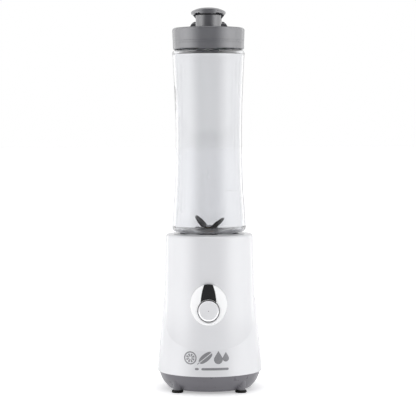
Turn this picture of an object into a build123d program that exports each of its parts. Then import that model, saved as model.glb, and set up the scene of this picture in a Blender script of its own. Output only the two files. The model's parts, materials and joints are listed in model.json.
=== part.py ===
"""Personal countertop blender: motor base, twist-in blade unit, double-ended bottle and flip-top lid.

Millimetres. +Z up, origin on the standing surface at the centre of the base, front of the base towards -Y.
"""

import math
import os

from build123d import *

os.makedirs("parts", exist_ok=True)

# ---------------------------------------------------------------- driving dimensions
# motor base
BASE_TOP = 154.5  # deck of the housing
HOUSING_Z = 18.5  # lower edge of the white housing
WALL = 2.5
R_TOP = 43.5  # housing radius just under the deck
TAPER = 0.0254  # radius gained per mm down the upper body
R_SKIRT = 52.2  # widest radius, at the lower edge
CREASE_TOP = 94.0  # height where the skirt has sunk into the body at the two sides
SHOULDER_Z, SHOULDER_R = 84.0, 46.4  # shoulder of the skirt at the two sides
WELL_R = 32.6
WELL_FLOOR = 130.7
COLLAR_R = 37.2
COVER_Z = 2.2  # underside of the grey bottom cover
FOOT_XY = 31.2
FOOT_R = 5.8
# button
BUTTON_Z = 82.1
BUTTON_R = 10.7
BEZEL_Z = 87.9
BEZEL_A, BEZEL_B = 17.9, 20.2
# cord entry
CORD_Z = 30.0
CORD_BORE_R = 3.6
# motor
SHAFT_R = 3.0
RUN = 0.03  # radial running clearance
STATOR = 54.0
# blade unit
HOLDER_R = 31.9
HOLDER_Z = 135.1
HOLDER_TOP = 153.0
CHANNEL_Z = 139.5
PLUG_R = 24.4
PLUG_TOP = 156.0
TWIST = 25.0  # bayonet turn, degrees
# bottle and lid
INTERLOCK_A = 157.5  # where the safety plunger sits, degrees from +X
LEAD = 12.0  # three-start threads
NECK_LOW_R = 27.0
NECK_TOP_R = 31.2
BOTTLE_LOW = 141.55
BOTTLE_TOP = 353.55
LID_LOW = 337.8
LID_TOP = 358.5
SPOUT_R = 12.6
SPOUT_TOP = 371.7
HINGE_Y, HINGE_Z = 22.0, 363.0


def body_r(z):
    """Outer radius of the upper body at height z."""
    return R_TOP + (150.0 - z) * TAPER


def crease(t):
    """Height of the crease between body and skirt, t degrees round from the front or back (90 = side)."""
    pts = [(0, 43.0), (31, 45.5), (50.7, 50.7), (64.6, 57.8), (78, 76.0), (90, CREASE_TOP)]
    for (a, za), (b, zb) in zip(pts, pts[1:]):
        if t <= b:
            return za + (zb - za) * (t - a) / (b - a)
    return CREASE_TOP


def skirt_curve(z, inset=0.0):
    """Points of the skirt's section at height z; each ruling runs straight from the crease to the lower edge."""
    pts = []
    for t in (0, 31, 50.7, 64.6, 78):
        zc = crease(t)
        r = R_SKIRT + (body_r(zc) - R_SKIRT) * (z - 20.0) / (zc - 20.0)
        pts.append((t, r - inset))
    if z > SHOULDER_Z:
        side = SHOULDER_R + (body_r(CREASE_TOP) - 0.3 - SHOULDER_R) * (z - SHOULDER_Z) / (CREASE_TOP - SHOULDER_Z)
    else:
        side = R_SKIRT + (SHOULDER_R - R_SKIRT) * (z - 20.0) / (SHOULDER_Z - 20.0)
    pts.append((90, side - inset))
    ring = []
    for q in range(4):
        quarter = pts if q % 2 == 0 else [(90 - t, r) for t, r in reversed(pts)]
        for t, r in quarter[:-1]:
            a = math.radians(q * 90 + t)
            ring.append((r * math.sin(a), -r * math.cos(a)))
    return ring


PX, PY = 29 * math.cos(math.radians(INTERLOCK_A)), 29 * math.sin(math.radians(INTERLOCK_A))
THREAD = [(-1.0, -1.1), (1.4, -0.55), (1.4, 0.55), (-1.0, 1.1)]  # ridge section: out, up

# ================================================================ motor base
# ---- white housing: tapered body, flared skirt, deck, well with bayonet slots
with BuildPart() as base_housing:
    with BuildSketch(Plane.XZ):
        with BuildLine():
            Polyline(
                (0, HOUSING_Z), (body_r(HOUSING_Z), HOUSING_Z), (body_r(BASE_TOP), BASE_TOP), (0, BASE_TOP), close=True
            )
        make_face()
    revolve(axis=Axis.Z)
    deck_edge = edges().filter_by(GeomType.CIRCLE).group_by(Axis.Z)[-1]
    fillet(deck_edge, 2.8)
    with BuildSketch(Plane.XY.offset(HOUSING_Z)):
        with BuildLine():
            Spline(*skirt_curve(HOUSING_Z), periodic=True)
        make_face()
    with BuildSketch(Plane.XY.offset(SHOULDER_Z)):
        with BuildLine():
            Spline(*skirt_curve(SHOULDER_Z), periodic=True)
        make_face()
    with BuildSketch(Plane.XY.offset(CREASE_TOP)):
        with BuildLine():
            Spline(*skirt_curve(CREASE_TOP), periodic=True)
        make_face()
    loft(ruled=True)
    # hollow of the body and of the skirt
    with BuildSketch(Plane.XZ):
        with BuildLine():
            Polyline(
                (0, HOUSING_Z - 1),
                (body_r(HOUSING_Z - 1) - WALL, HOUSING_Z - 1),
                (body_r(BASE_TOP - 3) - WALL, BASE_TOP - 3),
                (0, BASE_TOP - 3),
                close=True,
            )
        make_face()
    revolve(axis=Axis.Z, mode=Mode.SUBTRACT)
    with BuildSketch(Plane.XY.offset(HOUSING_Z - 1)):
        with BuildLine():
            Spline(*skirt_curve(HOUSING_Z - 1, WALL), periodic=True)
        make_face()
    with BuildSketch(Plane.XY.offset(SHOULDER_Z)):
        with BuildLine():
            Spline(*skirt_curve(SHOULDER_Z, WALL), periodic=True)
        make_face()
    with BuildSketch(Plane.XY.offset(CREASE_TOP)):
        with BuildLine():
            Spline(*skirt_curve(CREASE_TOP, WALL), periodic=True)
        make_face()
    loft(ruled=True, mode=Mode.SUBTRACT)
    # well: collar, floor and shaft lip
    with BuildSketch(Plane.XZ):
        with BuildLine():
            Polyline(
                (0, WELL_FLOOR - 3),
                (COLLAR_R - 2.2, WELL_FLOOR - 3),
                (COLLAR_R - 2.2, 138.0),
                (COLLAR_R, 140.0),
                (COLLAR_R, BASE_TOP - 1.5),
                (0, BASE_TOP - 1.5),
                close=True,
            )
        make_face()
    revolve(axis=Axis.Z)
    with BuildSketch(Plane.XZ):
        with BuildLine():
            Polyline(
                (0, WELL_FLOOR),
                (WELL_R, WELL_FLOOR),
                (WELL_R, BASE_TOP - 1.0),
                (WELL_R + 0.9, BASE_TOP + 0.1),
                (WELL_R + 0.9, BASE_TOP + 2),
                (0, BASE_TOP + 2),
                close=True,
            )
        make_face()
    revolve(axis=Axis.Z, mode=Mode.SUBTRACT)
    with BuildSketch(Plane.XY.offset(WELL_FLOOR)):
        Circle(7.0)
    extrude(amount=1.4)
    # three entry slots and the pockets the lugs turn into
    for k in (-90 + 60, -90 + 180, -90 + 300):
        with BuildSketch(Plane.XY.offset(142.0)):
            with BuildLine():
                a0, a1 = math.radians(k - 14), math.radians(k + 14)
                Polyline((0, 0), (60 * math.cos(a0), 60 * math.sin(a0)), (60 * math.cos(a1), 60 * math.sin(a1)), close=True)
            make_face()
            Circle(34.9, mode=Mode.INTERSECT)
        extrude(amount=20, mode=Mode.SUBTRACT)
        with BuildSketch(Plane.XY.offset(142.0)):
            with BuildLine():
                a0, a1 = math.radians(k - 14 - TWIST), math.radians(k + 14)
                Polyline((0, 0), (60 * math.cos(a0), 60 * math.sin(a0)), (60 * math.cos(a1), 60 * math.sin(a1)), close=True)
            make_face()
            Circle(34.9, mode=Mode.INTERSECT)
        extrude(amount=5.0, mode=Mode.SUBTRACT)
    # shaft hole and interlock plunger hole in the well floor
    with Locations((0, 0, WELL_FLOOR + 2)):
        Hole(5.0, depth=10)
    # four bosses under the floor for the motor mounts
    with Locations(*[Location((31 * math.cos(math.radians(a)), 31 * math.sin(math.radians(a)), 119.5)) for a in (0, 90, 180, 270)]):
        Cylinder(4.2, 8.3, align=(Align.CENTER, Align.CENTER, Align.MIN))
    for a in (0, 90, 180, 270):
        with Locations((31 * math.cos(math.radians(a)), 31 * math.sin(math.radians(a)), 119.4)):
            Cylinder(1.6, 8.2, align=(Align.CENTER, Align.CENTER, Align.MIN), mode=Mode.SUBTRACT)
    # guide for the safety plunger and the two clips that hold its switch
    with Locations(Location((PX, PY, 124.5))):
        Cylinder(3.2, 3.4, align=(Align.CENTER, Align.CENTER, Align.MIN))
        Cylinder(1.7, 12, align=(Align.CENTER, Align.CENTER, Align.MIN), mode=Mode.SUBTRACT)
    with Locations(Location((PX, PY, 115.5), (0, 0, INTERLOCK_A))):
        with Locations((0, 3.6, 0), (0, -3.6, 0)):
            Box(9.0, 1.2, 12.4, align=(Align.CENTER, Align.CENTER, Align.MIN))
    # pillars for the four cover screws
    with Locations(*[(x, y, 20.5) for x in (-FOOT_XY, FOOT_XY) for y in (-FOOT_XY, FOOT_XY)]):
        Cylinder(3.5, 13.0, align=(Align.CENTER, Align.CENTER, Align.MIN))
    with Locations(*[(x, y, 20.4) for x in (-FOOT_XY, FOOT_XY) for y in (-FOOT_XY, FOOT_XY)]):
        Cylinder(1.5, 11.5, align=(Align.CENTER, Align.CENTER, Align.MIN), mode=Mode.SUBTRACT)
    # ribs that brace the pillars to the wall
    with Locations(*[Location((x, y, 20.5), (0, 0, math.degrees(math.atan2(y, x)))) for x in (-33.6, 33.6) for y in (-33.6, 33.6)]):
        Box(3.0, 2.0, 13.0, align=(Align.CENTER, Align.CENTER, Align.MIN))
    # oval opening for the button bezel
    with BuildSketch(Plane.XZ.offset(30)):
        with Locations((0, BEZEL_Z)):
            Ellipse(BEZEL_A + 0.15, BEZEL_B + 0.15)
    extrude(amount=30, mode=Mode.SUBTRACT)
    # rear cord entry: boss, flat seat, hole
    with BuildSketch(Plane.XZ.offset(-43.9)):
        with Locations((0, CORD_Z)):
            Circle(8.6)
    extrude(amount=-4.1)
    with BuildSketch(Plane.XZ.offset(-48.0)):
        with Locations((0, CORD_Z)):
            Circle(7.2)
    extrude(amount=-8, mode=Mode.SUBTRACT)
    with BuildSketch(Plane.XZ.offset(-40)):
        with Locations((0, CORD_Z)):
            Circle(5.05)
    extrude(amount=-14, mode=Mode.SUBTRACT)
    # two standoffs for the circuit board on the rear wall
    with BuildSketch(Plane.XZ.offset(-38.6)):
        with Locations((-10, 60), (10, 84)):
            Circle(2.4)
    extrude(amount=-4.2)
    with BuildSketch(Plane.XZ.offset(-38.5)):
        with Locations((-10, 60), (10, 84)):
            Circle(1.0)
    extrude(amount=-3.4, mode=Mode.SUBTRACT)
base_housing.part.label = "base_housing"

# ---- grey bottom cover: dished shell, vents, foot bosses, locating lip
with BuildPart() as base_cover:
    with BuildSketch(Plane.XZ):
        with BuildLine():
            Polyline((0, COVER_Z), (41.6, COVER_Z), (44.3, 5.2))
            Spline((44.3, 5.2), (47.7, 10.2), (49.9, 15.8), (50.7, 18.4))
            Polyline((50.7, 18.4), (47.0, 18.4), (0, 18.4), (0, COVER_Z))
        make_face()
    revolve(axis=Axis.Z)
    with BuildSketch(Plane.XZ):
        with BuildLine():
            Polyline(
                (0, COVER_Z + 2.5),
                (41.4, COVER_Z + 2.5),
                (45.1, 11.5),
                (47.3, 17.0),
                (47.3, 19.0),
                (0, 19.0),
                close=True,
            )
        make_face()
    revolve(axis=Axis.Z, mode=Mode.SUBTRACT)
    # locating lip inside the housing skirt
    with BuildSketch(Plane.XY.offset(17.0)):
        Circle(49.0)
        Circle(47.3, mode=Mode.SUBTRACT)
    extrude(amount=3.4)
    # recesses that clear the foot pads
    with Locations(*[(x, y, COVER_Z - 1) for x in (-FOOT_XY, FOOT_XY) for y in (-FOOT_XY, FOOT_XY)]):
        Cylinder(FOOT_R + 0.4, 3.8 - COVER_Z, align=(Align.CENTER, Align.CENTER, Align.MIN), mode=Mode.SUBTRACT)
    # foot bosses, conical outside, that also take the cover screws
    for x in (-FOOT_XY, FOOT_XY):
        for y in (-FOOT_XY, FOOT_XY):
            with BuildSketch(Plane.XY.offset(2.7)):
                with Locations((x, y)):
                    Circle(4.2)
            with BuildSketch(Plane.XY.offset(20.3)):
                with Locations((x, y)):
                    Circle(5.2)
            loft()
    with BuildSketch(Plane.XY.offset(18.4)):
        Circle(60)
        Circle(49.0, mode=Mode.SUBTRACT)
    extrude(amount=5, mode=Mode.SUBTRACT)
    with Locations(*[(x, y, 2.6) for x in (-FOOT_XY, FOOT_XY) for y in (-FOOT_XY, FOOT_XY)]):
        Cylinder(3.0, 8.0, align=(Align.CENTER, Align.CENTER, Align.MIN), mode=Mode.SUBTRACT)
        Cylinder(1.7, 30, align=(Align.CENTER, Align.CENTER, Align.MIN), mode=Mode.SUBTRACT)
    # cooling vents under the fan
    with BuildSketch(Plane.XY.offset(COVER_Z - 1)):
        with GridLocations(6.0, 0, 7, 1):
            SlotOverall(30, 2.6, rotation=90)
    extrude(amount=5, mode=Mode.SUBTRACT)
base_cover.part.label = "base_cover"

# ---- four rubber feet with stems pushed up into the bosses
with BuildPart() as rubber_feet:
    for x in (-FOOT_XY, FOOT_XY):
        for y in (-FOOT_XY, FOOT_XY):
            with BuildSketch(Plane(origin=(x, y, 0), x_dir=(1, 0, 0), z_dir=(0, -1, 0))):
                with BuildLine():
                    Polyline(
                        (0, 0.7), (3.2, 0.5), (4.2, 0), (5.3, 0), (FOOT_R, 0.6), (FOOT_R, 1.6), (5.2, 2.4), (4.3, 2.7), (2.9, 2.7), (2.9, 6.2), (2.3, 7.0), (0, 7.0),
                        close=True,
                    )
                make_face()
            revolve(axis=Axis((x, y, 0), (0, 0, 1)))
rubber_feet.part.label = "rubber_feet"

# ---- cover screws
with BuildPart() as cover_screws:
    for x in (-FOOT_XY, FOOT_XY):
        for y in (-FOOT_XY, FOOT_XY):
            with Locations((x, y, 8.3)):
                Cylinder(2.7, 2.3, align=(Align.CENTER, Align.CENTER, Align.MIN))
            with Locations((x, y, 10.6)):
                Cylinder(1.5, 19.0, align=(Align.CENTER, Align.CENTER, Align.MIN))
            with Locations((x, y, 8.3)):
                Box(3.6, 0.7, 1.2, align=(Align.CENTER, Align.CENTER, Align.MIN), mode=Mode.SUBTRACT)
                Box(0.7, 3.6, 1.2, align=(Align.CENTER, Align.CENTER, Align.MIN), mode=Mode.SUBTRACT)
cover_screws.part.label = "cover_screws"

# ---- cord gland: rubber bush snapped into the rear wall
with BuildPart() as cord_gland:
    with BuildSketch(Plane(origin=(0, 0, CORD_Z), x_dir=(0, 1, 0), z_dir=(1, 0, 0))):
        with BuildLine():
            Polyline(
                (41.4, CORD_BORE_R),
                (41.4, 5.6),
                (43.85, 6.4),
                (43.85, 5.0),
                (48.05, 5.0),
                (48.05, 6.9),
                (50.4, 6.9),
                (51.0, 6.3),
                (51.0, CORD_BORE_R + 0.5),
                (50.5, CORD_BORE_R),
                close=True,
            )
        make_face()
    revolve(axis=Axis((0, 0, CORD_Z), (0, 1, 0)))
cord_gland.part.label = "cord_gland"

# ================================================================ front button
DISH = [(BUTTON_R + 0.3, 45.7), (24.0, 58.7), (24.0, 60.0), (0.0, 60.0), (0.0, 45.7)]
INLAY = [(3.5, 108.6), (4.3, 107.4), (6.2, 101.2), (7.25, 94.8), (7.7, 90.0), (7.9, 87.0)]  # right-hand edge, top down

# ---- white oval bezel: curved face, flange behind the wall, guide cup, switch clips
with BuildPart() as bezel_flange:
    with BuildSketch(Plane.XZ.offset(30)):
        with Locations((0, BEZEL_Z)):
            Ellipse(BEZEL_A + 2.0, BEZEL_B + 2.0)
    extrude(amount=30)
    with BuildSketch(Plane.XY.offset(50)):
        Circle(41.9)
        Circle(40.2, mode=Mode.SUBTRACT)
    extrude(amount=80, mode=Mode.INTERSECT)

with BuildPart() as button_bezel:
    with BuildSketch(Plane.XZ.offset(30)):
        with Locations((0, BEZEL_Z)):
            Ellipse(BEZEL_A, BEZEL_B)
    extrude(amount=30)
    with BuildSketch(Plane.XY.offset(50)):
        Circle(46.7)
        Circle(41.2, mode=Mode.SUBTRACT)
    extrude(amount=80, mode=Mode.INTERSECT)
    front_rim = faces().sort_by(Axis.Y)[0].outer_wire().edges()
    fillet(front_rim, 0.7)
    add(bezel_flange.part)
    # bevel round the button
    with BuildSketch(Plane(origin=(0, 0, BUTTON_Z), x_dir=(1, 0, 0), z_dir=(0, 0, 1))):
        with BuildLine():
            Polyline(*[(x, -y) for x, y in DISH], close=True)
        make_face()
    revolve(axis=Axis((0, 0, BUTTON_Z), (0, -1, 0)), mode=Mode.SUBTRACT)
    # guide cup behind the button
    with BuildSketch(Plane.XZ.offset(37.6)):
        with Locations((0, BUTTON_Z)):
            Circle(12.8)
    extrude(amount=4.6)
    with BuildSketch(Plane.XZ.offset(39.0)):
        with Locations((0, BUTTON_Z)):
            Circle(BUTTON_R + 0.25)
    extrude(amount=20, mode=Mode.SUBTRACT)
    with BuildSketch(Plane.XZ.offset(30)):
        with Locations((0, BUTTON_Z)):
            Circle(3.7)
    extrude(amount=20, mode=Mode.SUBTRACT)
    # clips that hold the switch
    with BuildSketch(Plane.XZ.offset(30.0)):
        with Locations((-7.35, BUTTON_Z), (7.35, BUTTON_Z)):
            Rectangle(1.4, 6.4)
    extrude(amount=7.7)
    # pocket for the black inlay
    with BuildSketch(Plane.XZ.offset(44.1)):
        with BuildLine():
            Polyline(*[(x + 0.1, z) for x, z in INLAY], *[(-x - 0.1, z) for x, z in reversed(INLAY)], close=True)
        make_face()
        with Locations((0, BUTTON_Z)):
            Circle(BUTTON_R + 0.6, mode=Mode.SUBTRACT)
    extrude(amount=20, mode=Mode.SUBTRACT)
button_bezel.part.label = "button_bezel"

# ---- black tapered inlay above the button
with BuildPart() as button_inlay:
    with BuildSketch(Plane.XZ.offset(44.15)):
        with BuildLine():
            Polyline(*INLAY, *[(-x, z) for x, z in reversed(INLAY)], close=True)
        make_face()
        with Locations((0, BEZEL_Z)):
            Ellipse(BEZEL_A, BEZEL_B, mode=Mode.INTERSECT)
        with Locations((0, BUTTON_Z)):
            Circle(BUTTON_R + 0.7, mode=Mode.SUBTRACT)
    extrude(amount=10)
    with BuildSketch(Plane.XY.offset(80)):
        Circle(46.85)
    extrude(amount=40, mode=Mode.INTERSECT)
    with BuildSketch(Plane(origin=(0, 0, BUTTON_Z), x_dir=(1, 0, 0), z_dir=(0, 0, 1))):
        with BuildLine():
            Polyline(*[(x, -y - 0.15) for x, y in DISH], close=True)
        make_face()
    revolve(axis=Axis((0, 0, BUTTON_Z), (0, -1, 0)), mode=Mode.SUBTRACT)
button_inlay.part.label = "button_inlay"

# ---- push button: plastic cup with stem, and its spun metal face
with BuildPart() as button_body:
    with BuildSketch(Plane.XZ.offset(41.6)):
        with Locations((0, BUTTON_Z)):
            Circle(BUTTON_R)
    extrude(amount=5.4)
    with BuildSketch(Plane.XZ.offset(41.5)):
        with Locations((0, BUTTON_Z)):
            Circle(BUTTON_R - 1.6)
    extrude(amount=3.7, mode=Mode.SUBTRACT)
    with BuildSketch(Plane.XZ.offset(37.2)):
        with Locations((0, BUTTON_Z)):
            Circle(3.5)
    extrude(amount=8.2)
button_body.part.label = "button_body"

with BuildPart() as button_face:
    with BuildSketch(Plane(origin=(0, 0, BUTTON_Z), x_dir=(1, 0, 0), z_dir=(0, 0, 1))):
        with BuildLine():
            Polyline((0, -47.0), (BUTTON_R - 0.15, -47.0), (BUTTON_R - 0.15, -47.45), (BUTTON_R - 0.6, -47.9), (9.3, -47.9), (8.9, -47.65), (0.5, -47.5), (0.25, -47.35), (0, -47.35), close=True)
        make_face()
    revolve(axis=Axis((0, 0, BUTTON_Z), (0, -1, 0)))
button_face.part.label = "button_face"

# ---- return spring in the guide cup
with BuildPart() as button_spring:
    with BuildLine():
        spring_path = Helix(pitch=1.75, height=5.25, radius=5.6, center=(0, -39.45, BUTTON_Z), direction=(0, -1, 0))
    with BuildSketch(Plane(origin=spring_path @ 0, z_dir=spring_path % 0)):
        Circle(0.35)
    sweep(is_frenet=True)
button_spring.part.label = "button_spring"

# ---- microswitch behind the button, and its plunger
with BuildPart() as power_switch:
    with Locations((0, -35.4 + 3.25, BUTTON_Z)):
        Box(12.8, 6.5, 5.8)
    fillet(edges().filter_by(Axis.Y), 0.5)
    with BuildSketch(Plane.XZ.offset(32)):
        with Locations((0, BUTTON_Z)):
            Circle(1.15)
    extrude(amount=6, mode=Mode.SUBTRACT)
    with Locations((-6.35 + 1.2, -28.9 + 0.4, BUTTON_Z), (0, -28.9 + 0.4, BUTTON_Z), (6.35 - 1.2, -28.9 + 0.4, BUTTON_Z)):
        Box(0.6, 0.9, 3.0)
power_switch.part.label = "power_switch"

with BuildPart() as power_switch_plunger:
    with BuildSketch(Plane.XZ.offset(34.4)):
        with Locations((0, BUTTON_Z)):
            Circle(1.05)
    extrude(amount=2.8)
power_switch_plunger.part.label = "power_switch_plunger"

# ================================================================ motor
# ---- stator laminations: rounded square with two pole arcs
with BuildPart() as stator_core:
    with BuildSketch(Plane.XY.offset(72)):
        Circle(18.4)
        Rectangle(40, 20, mode=Mode.SUBTRACT)
        with BuildSketch(mode=Mode.PRIVATE) as frame:
            RectangleRounded(STATOR, STATOR, 13.0)
            Circle(23.2, mode=Mode.SUBTRACT)
            Rectangle(31, 43.6, mode=Mode.SUBTRACT)
        add(frame.sketch)
        with Locations((0, 20), (0, -20)):
            Rectangle(19, 6)
        Circle(16.3, mode=Mode.SUBTRACT)
        with Locations((-20.0, -20.0), (20.0, 20.0), (-20.0, 20.0), (20.0, -20.0)):
            Circle(2.0, mode=Mode.SUBTRACT)
    extrude(amount=22)
stator_core.part.label = "stator_core"

# ---- two field coils looped round the poles
with BuildPart() as field_coils:
    for s in (1, -1):
        with BuildSketch(Plane.XZ.offset(-s * 18.7)):
            with Locations((0, 83)):
                RectangleRounded(29.6, 39, 7)
                RectangleRounded(19.6, 22.6, 1.0, mode=Mode.SUBTRACT)
        extrude(amount=-s * 2.9)
field_coils.part.label = "field_coils"

# ---- rotor: shaft, laminations, windings, commutator, fan
with BuildPart() as motor_shaft:
    with Locations((0, 0, 19.0)):
        Cylinder(SHAFT_R, 117.5, align=(Align.CENTER, Align.CENTER, Align.MIN))
    chamfer(edges().filter_by(GeomType.CIRCLE), 0.4)
motor_shaft.part.label = "motor_shaft"

with BuildPart() as rotor_core:
    with BuildSketch(Plane.XY.offset(71.5)):
        Circle(15.6)
        with PolarLocations(12.6, 12):
            SlotOverall(5.2, 2.6, mode=Mode.SUBTRACT)
        with PolarLocations(15.3, 12):
            Rectangle(1.6, 1.4, mode=Mode.SUBTRACT)
        Circle(SHAFT_R, mode=Mode.SUBTRACT)
    extrude(amount=23)
rotor_core.part.label = "rotor_core"

with BuildPart() as rotor_windings:
    with BuildSketch(Plane.XZ):
        with BuildLine():
            Polyline((4.2, 61.0), (9.0, 61.0), (13.4, 64.5), (13.8, 71.45), (4.2, 71.45), close=True)
        make_face()
        with BuildLine():
            Polyline((4.2, 94.55), (13.8, 94.55), (13.2, 101.0), (9.0, 104.0), (4.2, 104.0), close=True)
        make_face()
    revolve(axis=Axis.Z)
    with BuildSketch(Plane.XY.offset(71.45)):
        with PolarLocations(12.6, 12):
            SlotOverall(5.0, 2.4)
    extrude(amount=23.1)
rotor_windings.part.label = "rotor_windings"

with BuildPart() as commutator:
    with BuildSketch(Plane.XY.offset(45.5)):
        Circle(9.4)
        Circle(SHAFT_R, mode=Mode.SUBTRACT)
        with PolarLocations(9.2, 12):
            Rectangle(1.6, 0.5, mode=Mode.SUBTRACT)
    extrude(amount=12.5)
    with BuildSketch(Plane.XY.offset(56.0)):
        Circle(10.6)
        Circle(SHAFT_R, mode=Mode.SUBTRACT)
    extrude(amount=2.0)
commutator.part.label = "commutator"

with BuildPart() as cooling_fan:
    with Locations((0, 0, 20.5)):
        Cylinder(6.0, 10.0, align=(Align.CENTER, Align.CENTER, Align.MIN))
    with Locations((0, 0, 29.0)):
        Cylinder(27.0, 1.5, align=(Align.CENTER, Align.CENTER, Align.MIN))
    for k in range(9):
        with Locations(Location((0, 0, 21.5), (0, 0, k * 40))):
            with Locations(Location((16.0, 2.0, 0), (0, 0, 18))):
                Box(21.0, 1.3, 8.0, align=(Align.CENTER, Align.CENTER, Align.MIN))
    with Locations((0, 0, 20.0)):
        Cylinder(SHAFT_R, 12.0, align=(Align.CENTER, Align.CENTER, Align.MIN), mode=Mode.SUBTRACT)
cooling_fan.part.label = "cooling_fan"

# ---- bearings and their brackets
with BuildPart() as upper_bearing:
    with BuildSketch(Plane.XZ):
        with BuildLine():
            Polyline(
                (SHAFT_R + RUN, 115.0),
                (5.0, 115.0),
                (5.2, 115.5),
                (7.6, 115.5),
                (7.8, 115.0),
                (9.5, 115.0),
                (9.5, 121.0),
                (7.8, 121.0),
                (7.6, 120.5),
                (5.2, 120.5),
                (5.0, 121.0),
                (SHAFT_R + RUN, 121.0),
                close=True,
            )
        make_face()
    revolve(axis=Axis.Z)
upper_bearing.part.label = "upper_bearing"

with BuildPart() as lower_bearing:
    add(upper_bearing.part.moved(Location((0, 0, 37.0 - 115.0))))
lower_bearing.part.label = "lower_bearing"

with BuildPart() as upper_bracket:
    with Locations((0, 0, 112)):
        Cylinder(36.0, 3.0, align=(Align.CENTER, Align.CENTER, Align.MIN))
        Cylinder(12.0, 9.0, align=(Align.CENTER, Align.CENTER, Align.MIN))
    with Locations(*[(x, y, 94.05) for x in (-20, 20) for y in (-20, 20)]):
        Cylinder(4.2, 18.5, align=(Align.CENTER, Align.CENTER, Align.MIN))
    with Locations((0, 0, 115)):
        Cylinder(9.5, 10.0, align=(Align.CENTER, Align.CENTER, Align.MIN), mode=Mode.SUBTRACT)
    with Locations((0, 0, 110)):
        Cylinder(5.0, 12.0, align=(Align.CENTER, Align.CENTER, Align.MIN), mode=Mode.SUBTRACT)
    with Locations(*[(x, y, 90) for x in (-20, 20) for y in (-20, 20)]):
        Cylinder(2.0, 40, align=(Align.CENTER, Align.CENTER, Align.MIN), mode=Mode.SUBTRACT)
    with BuildSketch(Plane.XY.offset(110)):
        with PolarLocations(31, 4):
            Circle(3.6)
        with PolarLocations(19.5, 4):
            SlotOverall(12, 7)
    extrude(amount=8, mode=Mode.SUBTRACT)
upper_bracket.part.label = "upper_bracket"

with BuildPart() as lower_bracket:
    with BuildSketch(Plane.XY.offset(34)):
        RectangleRounded(52, 52, 11)
        with Locations((0, 19.5), (0, -19.5)):
            SlotOverall(22, 8, mode=Mode.SUBTRACT)
    extrude(amount=3)
    with Locations((0, 0, 34)):
        Cylinder(12.0, 9.0, align=(Align.CENTER, Align.CENTER, Align.MIN))
    with Locations(*[(x, y, 36) for x in (-20, 20) for y in (-20, 20)]):
        Cylinder(4.2, 35.95, align=(Align.CENTER, Align.CENTER, Align.MIN))
    with Locations((-19, 0, 36), (19, 0, 36)):
        Box(9.0, 11.0, 9.4, align=(Align.CENTER, Align.CENTER, Align.MIN))
    with Locations((0, 0, 37)):
        Cylinder(9.5, 10.0, align=(Align.CENTER, Align.CENTER, Align.MIN), mode=Mode.SUBTRACT)
    with Locations((0, 0, 30)):
        Cylinder(5.0, 12.0, align=(Align.CENTER, Align.CENTER, Align.MIN), mode=Mode.SUBTRACT)
    with Locations(*[(x, y, 30) for x in (-20, 20) for y in (-20, 20)]):
        Cylinder(2.0, 50, align=(Align.CENTER, Align.CENTER, Align.MIN), mode=Mode.SUBTRACT)
lower_bracket.part.label = "lower_bracket"

with BuildPart() as motor_bolts:
    for x in (-20, 20):
        for y in (-20, 20):
            with Locations((x, y, 31.4)):
                Cylinder(3.6, 2.6, align=(Align.CENTER, Align.CENTER, Align.MIN))
            with Locations((x, y, 33.9)):
                Cylinder(1.95, 84.0, align=(Align.CENTER, Align.CENTER, Align.MIN))
            with BuildSketch(Plane.XY.offset(115.0)):
                with Locations((x, y)):
                    RegularPolygon(3.4, 6)
            extrude(amount=2.4)
motor_bolts.part.label = "motor_bolts"

# ---- brush gear, one set each side of the commutator
with BuildPart() as brush_holders:
    for s in (-1, 1):
        with Locations((s * 19.2, 0, 50.6)):
            Box(16.4, 9.0, 10.4)
        with Locations((s * 18.6, 0, 50.6)):
            Box(18.0, 6.2, 7.6, mode=Mode.SUBTRACT)
        with Locations((s * 26.9, 0, 50.6)):
            Box(1.0, 9.0, 10.4)
brush_holders.part.label = "brush_holders"

with BuildPart() as carbon_brushes:
    for s in (-1, 1):
        with Locations((s * 14.25, 0, 50.6)):
            Box(9.5, 6.0, 7.4)
carbon_brushes.part.label = "carbon_brushes"

with BuildPart() as brush_springs:
    for s in (-1, 1):
        with BuildLine() as coil:
            Helix(pitch=1.45, height=6.6, radius=2.1, center=(s * 19.4, 0, 50.6), direction=(s, 0, 0))
        with BuildSketch(Plane(origin=coil.line @ 0, z_dir=coil.line % 0)) as wire:
            Circle(0.25)
        sweep(sections=wire.sketch, path=coil.line, is_frenet=True)
brush_springs.part.label = "brush_springs"

# ---- rubber mounts and screws between bracket and housing
with BuildPart() as motor_mounts:
    for a in (0, 90, 180, 270):
        mx, my = 31 * math.cos(math.radians(a)), 31 * math.sin(math.radians(a))
        with BuildSketch(Plane(origin=(mx, my, 0), x_dir=(1, 0, 0), z_dir=(0, -1, 0))):
            with BuildLine():
                Polyline((2.1, 109.6), (4.6, 109.6), (4.9, 112.0), (3.5, 112.0), (3.5, 115.0), (4.9, 115.0), (4.9, 119.0), (4.4, 119.5), (2.1, 119.5), close=True)
            make_face()
        revolve(axis=Axis((mx, my, 0), (0, 0, 1)))
motor_mounts.part.label = "motor_mounts"

with BuildPart() as mount_screws:
    for a in (0, 90, 180, 270):
        mx, my = 31 * math.cos(math.radians(a)), 31 * math.sin(math.radians(a))
        with Locations((mx, my, 107.2)):
            Cylinder(3.6, 2.4, align=(Align.CENTER, Align.CENTER, Align.MIN))
        with Locations((mx, my, 109.0)):
            Cylinder(1.6, 17.0, align=(Align.CENTER, Align.CENTER, Align.MIN))
mount_screws.part.label = "mount_screws"

# ---- circuit board on the rear wall
with BuildPart() as circuit_board:
    with BuildSketch(Plane.XZ.offset(-37.0)):
        with Locations((0, 72)):
            Rectangle(29, 40)
        with Locations((-10, 60), (10, 84)):
            Circle(1.1, mode=Mode.SUBTRACT)
    extrude(amount=-1.55)
circuit_board.part.label = "circuit_board"

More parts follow.
